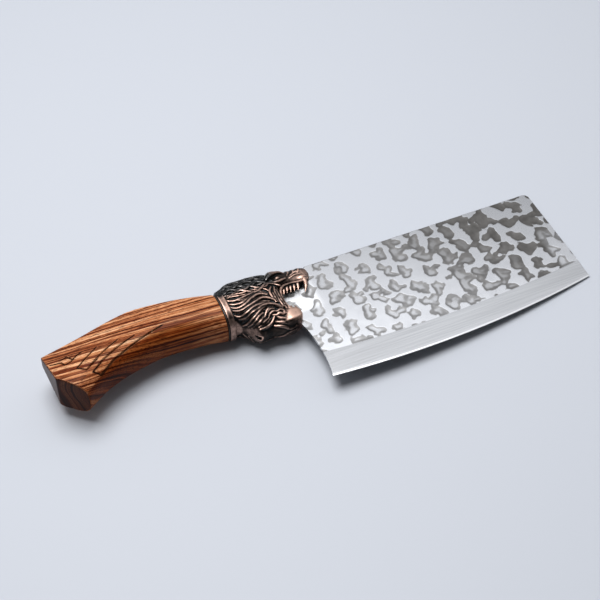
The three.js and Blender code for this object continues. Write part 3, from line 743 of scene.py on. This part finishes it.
# Mane locks on the upper side, with a finer one between each two, and hair on the cheek and on top
side_lines = [lock(SKULL, line, thickness) for thickness, line in MANE]
for (_, above), (_, below) in zip(MANE, MANE[1:]):
    shares = np.linspace(0.05, 0.95, 6)
    lines = [np.array(line, float) for line in (above, below)]
    reads = [[np.interp(shares, np.linspace(0, 1, len(line)), line[:, k]) for k in (0, 1)] for line in lines]
    side_lines.append(lock(SKULL, 0.5 * (np.array(reads[0]) + np.array(reads[1])).T, FINE_HAIR))
side_lines += [lock(SKULL, line, FINE_HAIR) for line in CHEEK_HAIR]
for line in range(HAIR_LINES):
    turn = HAIR_FROM + (HAIR_TO - HAIR_FROM) * line / (HAIR_LINES - 1)
    shares = np.linspace(0, 1, 9)
    x = HAIR_REAR_X + line % 2 + (HAIR_LENGTH + HAIR_LONGER * line) * shares
    waving = turn + HAIR_WAVE * np.sin(HAIR_WAVES * shares + HAIR_OUT_OF_STEP * line)
    points = section_points(SKULL, x, waving).tolist()
    if line < HAIR_LINES - 2:
        over_ring = section_points(RING, np.array([RING_FROM + 0.6]), np.array([turn - 0.1]))[0]
        points.insert(0, (over_ring + HAIR_OVER_RING).tolist())
    side_lines.append((points, lock_radii(len(points), HAIR_THICK if line % 2 else HAIR_THIN)))

# Face of the upper side: lips drawn back round the mouth, brow, eyelid, nose folds, jaw tufts and teeth
side_lines += FACE.values()
side_lines += [lock(SKULL, line, TUFT) for line in JAW_TUFTS]
for x in NOSE_FOLDS_X:
    fold = [on_side(SNOUT, x, 15.6), on_side(SNOUT, x + 1, 13), on_side(SNOUT, x - 0.6, 10.4)]
    side_lines.append((fold, [0.4, 0.7, 0.3]))
for line in MUZZLE_WRINKLES:
    side_lines.append(([on_side(SNOUT, x, y) for x, y in line], [0.3, 0.6, 0.3]))
for line in JAW_RIDGES:
    side_lines.append(([on_side(SKULL, x, y) for x, y in line], [0.6, 1.1, 1.1, 0.4]))
for x in FIRST_TOOTH_X + TOOTH_PITCH * np.arange(TEETH):
    y = smooth_line(SNOUT["bottom"], x) + TOOTH_IN_GUM
    z = smooth_line(SNOUT["half"], x) - TOOTH_IN_LIP
    side_lines.append((np.add((x, y, z), TOOTH).tolist(), TOOTH_RADII))

face = join([
    strands("face", side_lines),
    egg("eye", (41.3, 9.4, 7.5), (1.7, 1.5, 1.5)),
    egg("muzzle", (56.5, 6.8, 3.4), (4.2, 2.8, 2.8)),
])
modify(face, "MIRROR", use_axis=(False, False, True), use_mirror_merge=False)
turn_outward()

skull = loft("skull", SKULL, bed=MANE_BED)
cut(skull, egg("throat", (41, -5.5, 0), (7, 8, 6.5)))
snout = loft("snout", SNOUT)
for side in (1, -1):
    cut(snout, egg("nostril", (61.8, 12, 3.2 * side), (1.1, 1.0, 1.0)))
nose = egg("nose", (60.6, 12.2, 0), (2.2, 2.6, 4.2))
chin = egg("chin", (41.6, -19, 0), (3.6, 3.8, 6.8))
bolster = join([skull, snout, loft("jaw", JAW), loft("ring", RING), nose, chin, face])
bolster.name = bolster.data.name = "bolster_beast_head"
modify(bolster, "REMESH", mode="VOXEL", voxel_size=HEAD_VOXEL)
modify(bolster, "SMOOTH", factor=0.5, iterations=1)

# The slot that holds the blade, the channel for its tang and the hole for the pin
SLOT_HALF = SPINE_HALF + CLEARANCE


# A box between two corners.
def block(name, low, high):
    bpy.ops.mesh.primitive_cube_add(size=1)
    size = [b - a for a, b in zip(low, high)]
    return placed(name, size, [(a + b) / 2 for a, b in zip(low, high)])


PAST_NOSE_X = 70
BEHIND_RING_X = -5
BELOW_HEAD_Y = -40
SLOTS = {
    "blade_slot": ((STUB_REAR_X - CLEARANCE, STUB_BOTTOM_Y - CLEARANCE),
                   (PAST_NOSE_X, STUB_TOP_Y + CLEARANCE)),
    "chin_slot": ((CHOIL_TOP_X - CLEARANCE, BELOW_HEAD_Y), (PAST_NOSE_X, STUB_BOTTOM_Y)),
    "tang_channel": ((BEHIND_RING_X, TANG_BOTTOM_Y - CLEARANCE), (STUB_REAR_X, TANG_TOP_Y + CLEARANCE)),
}
for name, (low, high) in SLOTS.items():
    cut(bolster, block(name, (*low, -SLOT_HALF), (*high, SLOT_HALF)))
cut(bolster, round_bar("pin_hole", PIN_HOLE_RADIUS, (PIN_X, BELOW_HEAD_Y, 0), (PIN_X, PIN_HOLE_TOP_Y, 0)))

# The rubbing cloth reaches what stands out from the smoothed head. Chin, jaw and muzzle are lighter still,
# partly rubbed and partly painted highlight, and the bare neck is lightened evenly as painted reflection.
# The cloth hardly reaches the hair on top. The underside is darker where it faces away from the spine, and
# the mouth is darker as painted shade.
STANDS_OUT = 0.34
EVENLY_RUBBED = 0.2
NECK_PAINTED_LIGHT = 0.58
PIN_HOLE_PAINTED_SHADE = -0.3
HAIR_LESS = 0.42
UNDERSIDE_LESS = 0.3
UNDERSIDE_FACING = -0.45
RING_LESS = 0.3
RING_PAINTED_HIGHLIGHT = 0.5
RING_HIGHLIGHT_FROM_Y = -12
HAIR_BOTTOM_Y = 4
HAIR_FRONT_X = 41
MOUTH_PAINTED_SHADE = 0.7
MOUTH_REAR_X = 40
MOUTH_FRONT_X = 58
MOUTH_TOP_Y = 3.6
MOUTH_BOTTOM_Y = -3
MOUTH_HALF_WIDTH = 4.4

# How much lighter a spot is, partly rubbed and partly a painted highlight, its middle, its reach along and
# up, and how many reaches out it ends
RUBBED_AND_HIGHLIT_SPOTS = {
    "chin": (0.8, (42, -19.2), (4.8, 4.8), 1.7),
    "jaw": (0.3, (32, -21.5), (6, 4), 1.6),
    "muzzle": (0.4, (56, 7), (6.25, 5), 1.6),
}
MANE_TIPS = [(5, -10.5), (8, -13), (11.5, -16.6), (14, -20), (17, -23)]

pick(bolster)
bpy.ops.object.duplicate()
smoothed = bpy.context.object
modify(smoothed, "SMOOTH", factor=0.5, iterations=34)
points = places(bolster)
out = normals(bolster)
rubbed = ((points - places(smoothed)) * out).sum(1) / STANDS_OUT + EVENLY_RUBBED
bpy.data.objects.remove(smoothed)
x, y, z = points.T
on_ring = soft_step((RING_TO + 0.3 - x) / 0.6)
on_hair = soft_step((y - HAIR_BOTTOM_Y) / 5) * soft_step((HAIR_FRONT_X - x) / 5)
on_neck = soft_step((np.interp(x, *zip(*MANE_TIPS)) - y) / 1.2) * soft_step((MANE_TIPS[-1][0] - x) / 3)
on_underside = soft_step((UNDERSIDE_FACING - out[:, 1]) / 0.3) * (1 - on_ring) * (1 - on_neck)
mouth_shade = soft_step((x - MOUTH_REAR_X) / 2) * soft_step((MOUTH_FRONT_X - x) / 2)
mouth_shade = mouth_shade * soft_step(MOUTH_TOP_Y - y) * soft_step((y - MOUTH_BOTTOM_Y) / 2)
mouth_shade *= soft_step((MOUTH_HALF_WIDTH - np.abs(z)) / 0.6)
for more, (spot_x, spot_y), (reach_x, reach_y), fade in RUBBED_AND_HIGHLIT_SPOTS.values():
    rubbed += more * soft_step(fade - np.hypot((x - spot_x) / reach_x, (y - spot_y) / reach_y))
# Painted highlight: the ring is lighter above its middle
rubbed += on_ring * (RING_PAINTED_HIGHLIGHT * soft_step((y - RING_HIGHLIGHT_FROM_Y) / 7) * (1 - on_hair) - RING_LESS)
# Painted reflection: the bare neck is lightened to an even tone at least
rubbed += on_neck * np.maximum(NECK_PAINTED_LIGHT - rubbed, 0)
# The hair on top and the underside where it faces away from the spine are darker, and the mouth is darker as
# painted shade
rubbed -= HAIR_LESS * on_hair + UNDERSIDE_LESS * on_underside + MOUTH_PAINTED_SHADE * mouth_shade
# Painted shade: the inside of the pin hole is dark
in_pin_hole = (y < PIN_HOLE_TOP_Y) & (np.hypot(x - PIN_X, z) < PIN_HOLE_RADIUS + CLEARANCE)
keep_value(bolster, "rubbed", np.where(in_pin_hole, PIN_HOLE_PAINTED_SHADE, rubbed))
keep_value(bolster, "hair", on_hair)
pick(bolster)
bpy.ops.object.shade_smooth_by_angle(angle=math.radians(50))


# Copper alloy, sand cast, blackened and rubbed. The patina stays near black in every recess, and the high
# points show pinkish copper with a soft shine.
def antique_copper():
    material, tree, shader, mm = start_material("antique_copper")
    cloud = mottle(tree, mm, (2, 2, 2), 6)
    uneven = ranged(tree, cloud, 0, 1, -0.45, 0.45)
    rubbed = worked_out(tree, "ADD", kept(tree, "rubbed"), uneven)
    stain = ranged(tree, rubbed, -0.6, 1)
    stops = [(0, "#32373A"), (0.3, "#171615"), (0.55, "#453A35"), (0.75, "#957C71"), (1, "#D8B3A1")]
    colour = tinted(tree, stain, stops)

    # The hair on top is blackened so much that its copper looks grey
    copper = ranged(tree, kept(tree, "hair"), 0, 1, 1, 0.15)
    colour = add(tree, "HueSaturation", {"Color": colour, "Saturation": copper}).outputs["Color"]
    tree.links.new(colour, shader.inputs["Base Color"])
    tree.links.new(ranged(tree, rubbed, 0, 1, 0.42, 0.4), shader.inputs["Roughness"])
    shader.inputs["Metallic"].default_value = 1
    return material


lay(bolster, antique_copper(), "bolster")

# Pin
# A short steel pin, pressed up through the finger stop into a notch in the tang. Its near-black colour is
# painted shade of the hole that it sits in.
def pin_steel_painted_shade():
    material, tree, shader, mm = start_material("pin_steel_painted_shade")
    colour = tinted(tree, mottle(tree, mm, (1, 1, 1), 4), [(0.35, "#1E1C1B"), (0.65, "#302C2A")])
    tree.links.new(colour, shader.inputs["Base Color"])
    shader.inputs["Metallic"].default_value = 1
    shader.inputs["Roughness"].default_value = 0.45
    return material


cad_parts["bolster_pin"].material_slots[0].material = pin_steel_painted_shade()

# Resin
# Black-brown epoxy, poured into the bore round the tang. Its film shows as a dark line at the ring.
def cured_resin():
    material, tree, shader, mm = start_material("cured_epoxy")
    colour = tinted(tree, mottle(tree, mm, (4, 4, 4), 3), [(0.35, "#17110E"), (0.65, "#2A1E18")])
    tree.links.new(colour, shader.inputs["Base Color"])
    shader.inputs["Roughness"].default_value = 0.45
    return material


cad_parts["tang_resin"].material_slots[0].material = cured_resin()

# Handle
# One block of rosewood, shaped to a swelling oval and bored for the tang, then cut flat on both sides towards
# the butt and ended by two sloping facets. Lines are carved into its sides, and it is oiled and polished.
HANDLE_FRONT_X = -0.6
BUTT_X = -111
HANDLE = {
    "ends": (BUTT_X - 2, HANDLE_FRONT_X),
    "top": [(BUTT_X, 11.7), (-90, 16.2), (-57, 24.15), (-43, 23.75), (-13, 18.2), (0, 14.8)],
    "bottom": [(BUTT_X, -41), (-91, -27.2), (-80, -20.4), (-66, -15.2), (-56, -13), (-40, -10.5), (-13, -12),
               (0, -14.8)],
    "half": [(BUTT_X, 13.3), (-43, 13.4), (0, 13)],
    "squareness": [(BUTT_X, 3.4), (-60, 2.8), (0, RING_SQUARENESS)],
}
HANDLE_MIDDLE = Vector((-50, 5, 0))
FACET_START = Vector((-36, 20.5, 7))
RIDGE_END = Vector((-108.7, -13.8, 12.6))
BUTT_CORNER = Vector((BUTT_X, 11.7, 4))
HEEL_SLOPE = Vector((1, -1, 0))
BORE_REAR_X = -88
BORE_FRONT_X = 5
BORE_RADIUS = 3.5
BORE_REACH = 4.5
BORE_Y = 0.5
HANDLE_VOXEL = 0.55
GROOVE = 0.85
CARVED = [
    [(-87, -17.5), (-83, -19.5), (-73, -13), (-62.5, -8.5), (-53, -5), (-46, -3), (-38, -1)],
    [(-87, -17.5), (-79, -11.5), (-67, -5.5), (-56, -1.5)],
    [(-95, -12), (-90, -15), (-85.5, -12), (-77, -5.5), (-66, 0.5)],
    [(-95, -12), (-88, -5.5), (-79, 1)],
    [(-108, 0.5), (-102, -1), (-100, -4.5), (-96.5, -3.5), (-93, -0.5), (-88, 2)],
    [(-101, 1.5), (-97.5, 2.5), (-95, -1.5)],
]
GROOVE_END = 0.3
CARVED_DARK_REACH = 0.75
SHADE_BELOW_LINE = [(-97, -30), *CARVED[0][1:], (-24, 20)]
SHADE_LESS_IN_FRONT = 0.5
SHADE_LESS_FROM_X = -30
END_GRAIN_FACING = -0.35


# The other side's twin of a point.
def other_side(point):
    return Vector((point[0], point[1], -point[2]))


# Normal of the plane through three points, away from the middle of the handle.
def facet_normal(a, b, c):
    normal = (b - a).cross(c - a).normalized()
    return normal if normal.dot(a - HANDLE_MIDDLE) > 0 else -normal


handle = loft("handle_faceted", HANDLE, rings=100)
facets = [
    (RIDGE_END, FACET_START, BUTT_CORNER),
    (other_side(RIDGE_END), other_side(FACET_START), other_side(BUTT_CORNER)),
    (BUTT_CORNER, other_side(BUTT_CORNER), RIDGE_END),
    (RIDGE_END, other_side(RIDGE_END), RIDGE_END + HEEL_SLOPE),
]
for a, b, c in facets:
    bpy.ops.object.mode_set(mode="EDIT")
    bpy.ops.mesh.select_all(action="SELECT")
    bpy.ops.mesh.bisect(plane_co=a, plane_no=facet_normal(a, b, c), use_fill=True, clear_outer=True)
    bpy.ops.object.mode_set(mode="OBJECT")
modify(handle, "REMESH", mode="VOXEL", voxel_size=HANDLE_VOXEL)
modify(handle, "SMOOTH", factor=0.5, iterations=2)


# Height of the upper side at a point, on the flat facet or on the round side in front of it.
def upper_side(x, y):
    normal = facet_normal(*facets[0])
    fall = (x - RIDGE_END.x) * normal.x + (y - RIDGE_END.y) * normal.y
    return min(RIDGE_END.z - fall / normal.z, on_side(HANDLE, x, y)[2])


# Carved lines with a V section on both sides, and the bore for the tang
for side in (1, -1):
    for line in CARVED:
        points = [(x, y, side * upper_side(x, y)) for x, y in line]
        radii = [GROOVE] * len(points)
        radii[0] = radii[-1] = GROOVE_END * GROOVE
        cut(handle, strands("groove", [(points, radii)], roundness=0, bend="VECTOR"))
bore = round_bar("bore", BORE_RADIUS, (BORE_REAR_X, BORE_Y, 0), (BORE_FRONT_X, BORE_Y, 0), sides=26)
for up in (1, -1):
    select_only(bore, "vertices", up * (places(bore)[:, 1] - BORE_Y) > 0)
    bpy.ops.transform.translate(value=(0, up * BORE_REACH, 0))
    bpy.ops.object.mode_set(mode="OBJECT")
cut(handle, bore)
pick(handle)
bpy.ops.object.shade_smooth_by_angle(angle=math.radians(35))

# End grain shows on the rear facets. The side below the carved lines is darker as painted shade, less so in
# front, and the carved lines are darker.
points = places(handle)
out = normals(handle)
shade_line_y = np.interp(points[:, 0], *zip(*SHADE_BELOW_LINE))
lower_side_shade = soft_step((0.05 - out[:, 1]) / 0.5) * soft_step((shade_line_y + 0.3 - points[:, 1]) / 0.6)
lower_side_shade *= 1 - SHADE_LESS_IN_FRONT * soft_step((points[:, 0] - SHADE_LESS_FROM_X) / 25)
keep_value(handle, "end_grain", soft_step((END_GRAIN_FACING - out[:, 0]) / 0.35))
keep_value(handle, "lower_side_shade", lower_side_shade)
beside = np.full(len(points), 9.0)
for line in CARVED:
    for start, end in zip(line, line[1:]):
        reach = np.subtract(end, start)
        share = np.clip((points[:, :2] - start) @ reach / (reach @ reach), 0, 1)
        beside = np.minimum(beside, np.hypot(*(points[:, :2] - start - share[:, None] * reach).T))
carved = soft_step((CARVED_DARK_REACH - beside) / 0.35) * soft_step((np.abs(points[:, 2]) - 4) / 2)
keep_value(handle, "carved", carved)


# Rosewood, planed, oiled and polished. Dark growth layers run along the handle as straight streaks and show
# as curved rings on the butt, and the oil film gives a soft gloss.
def rosewood():
    material, tree, shader, mm = start_material("oiled_rosewood")

    # The grain runs 4 degrees across the handle. The pith lay 80 mm off, towards edge and table, so that the
    # layers stack up towards the spine. They wave a little. On the rear facets the pith is moved up, and the
    # layers show as rings.
    end_grain = kept(tree, "end_grain")
    grain = add(tree, "Mapping", {"Vector": mm, "Rotation": (0, 0, math.radians(4))}).outputs["Vector"]
    wave = mottle(tree, grain, (70, 16, 16), 2)
    across = add(tree, "VectorMath", {0: grain, 1: (0, 1, 1)}, operation="MULTIPLY").outputs["Vector"]
    pith = add(tree, "Mix", {0: end_grain, 4: (0, 73, 32), 5: (0, 73, -11)}, data_type="VECTOR").outputs[1]
    from_pith = add(tree, "VectorMath", {0: across, 1: pith}, operation="ADD").outputs["Vector"]
    layer = add(tree, "VectorMath", {0: from_pith}, operation="LENGTH").outputs["Value"]
    layer = worked_out(tree, "MULTIPLY_ADD", wave, 4, layer)
    along = add(tree, "SeparateXYZ", {"Vector": grain}).outputs["X"]
    layers = add(tree, "CombineXYZ", {"X": layer, "Y": along}).outputs["Vector"]
    bands = mottle(tree, layers, (2.4, 160, 1), 6, roughness=0.78, shift=(22, 0, 0))
    stops = [(0.36, "#38140A"), (0.45, "#924D29"), (0.53, "#D08E60"), (0.62, "#ECBB92")]
    colour = tinted(tree, bands, stops)

    # Late wood ends each layer with a thin dark line, and the pores, 0.1 mm wide, are drawn at 0.4 mm to show
    late_wood = tinted(tree, mottle(tree, layers, (1.3, 200, 1), 3), [(0.38, "#7A4A36"), (0.47, "#FFFFFF")])
    colour = mixed(tree, 1.0, colour, late_wood, "MULTIPLY")
    pores = tinted(tree, mottle(tree, grain, (9, 0.4, 0.4), 2), [(0.35, "#8A7F77"), (0.5, "#FFFFFF")])
    colour = mixed(tree, 1.0, colour, pores, "MULTIPLY")

    # Cut ends drink more oil and go darker. The side below the carved lines is darker as painted shade, and
    # the carved lines are darker.
    colour = mixed(tree, end_grain, colour, linear("#74594C"), "MULTIPLY")
    colour = mixed(tree, kept(tree, "lower_side_shade"), colour, linear("#B38D65"), "MULTIPLY")
    colour = mixed(tree, kept(tree, "carved"), colour, linear("#2A1208"))
    tree.links.new(colour, shader.inputs["Base Color"])
    shader.inputs["Specular IOR Level"].default_value = 0.06
    shader.inputs["Roughness"].default_value = 0.3
    return material


lay(handle, rosewood(), "handle")

# Table, light and camera
# A plain pale table in a white room, under a wide soft light overhead, with a lit ceiling panel and a lamp at
# the right that show in the steel.
TABLE_SIZE = 8
TABLE_TOP = -0.0002
bpy.ops.mesh.primitive_plane_add(size=TABLE_SIZE, location=(0, 0, TABLE_TOP))
table = named("table")
surface = bpy.data.materials.new("pale_laminate")
surface.use_nodes = True
laminate = surface.node_tree.nodes["Principled BSDF"].inputs
laminate["Base Color"].default_value = linear("#BCC0C8")
laminate["Roughness"].default_value = 0.6
table.data.materials.append(surface)

LIGHT_TOWARDS = Vector((-0.1, 0.24, 0.96)).normalized()
LIGHT_AWAY = 1.15
LIGHT_SIZE = 0.8
LIGHT_POWER = 13
bpy.ops.object.light_add(type="AREA", location=LIGHT_TOWARDS * LIGHT_AWAY)
softbox = bpy.context.object
softbox.name = "softbox"
softbox.rotation_euler = LIGHT_TOWARDS.to_track_quat("Z", "Y").to_euler()
softbox.data.shape = "DISK"
softbox.data.size = LIGHT_SIZE
softbox.data.energy = LIGHT_POWER

# The room is bright behind the spine and darker behind the camera. The ceiling panel and the lamp fade out
# towards their edges.
PANEL_TOWARDS = Vector((0.15, 0.3, 0.94)).normalized()
PANEL_MIDDLE = math.cos(math.radians(16))
PANEL_EDGE = math.cos(math.radians(31.5))
FRONT_END = -0.5
FRONT_LEVEL = 0.1
BACK_START = 0.6
BACK_LEVEL = 0.45
PANEL_LEVEL = 1.5
LAMP_TOWARDS = Vector((0.75, 0.1, 0.65)).normalized()
LAMP_MIDDLE = math.cos(math.radians(8))
LAMP_EDGE = math.cos(math.radians(24))
LAMP_LEVEL = 1.0
world = bpy.data.worlds.new("white_room")
world.use_nodes = True
room = world.node_tree
towards = add(room, "TexCoord").outputs["Generated"]
back = add(room, "SeparateXYZ", {"Vector": towards}).outputs["Y"]
walls = ranged(room, back, FRONT_END, BACK_START, FRONT_LEVEL, BACK_LEVEL, "SMOOTHSTEP")


# How much of a lit panel in the room shows in each direction, fading out towards its edge.
def panel_share(middle, full, edge):
    facing = add(room, "VectorMath", {0: towards, 1: middle}, operation="DOT_PRODUCT").outputs["Value"]
    return ranged(room, facing, edge, full, kind="SMOOTHSTEP")


panel = panel_share(PANEL_TOWARDS, PANEL_MIDDLE, PANEL_EDGE)
level = between(room, panel, walls, PANEL_LEVEL)
lamp = panel_share(LAMP_TOWARDS, LAMP_MIDDLE, LAMP_EDGE)
level = between(room, lamp, level, LAMP_LEVEL)
room.links.new(level, room.nodes["Background"].inputs["Strength"])
room.nodes["Background"].inputs["Color"].default_value = linear("#F4F6FA")
bpy.context.scene.world = world
bpy.context.scene.view_settings.view_transform = "Standard"

# The camera looks over the edge from beyond the handle, from the place that fits the knife's outline
CAMERA_AT = Vector((-195.0, -559.6, 702.3))
CAMERA_AIM = Vector((50.0, -6.2, 0))
CAMERA_LENS = 90
CAMERA_SENSOR = 36
bpy.ops.object.camera_add()
camera = bpy.context.object
look = (CAMERA_AT - CAMERA_AIM).to_track_quat("Z", "Y").to_matrix().to_4x4()
camera.matrix_world = LAID @ Matrix.Translation(CAMERA_AT) @ look
camera.scale = (1, 1, 1)
camera.data.lens = CAMERA_LENS
camera.data.sensor_width = CAMERA_SENSOR
camera.data.clip_start = 0.01
bpy.context.scene.camera = camera
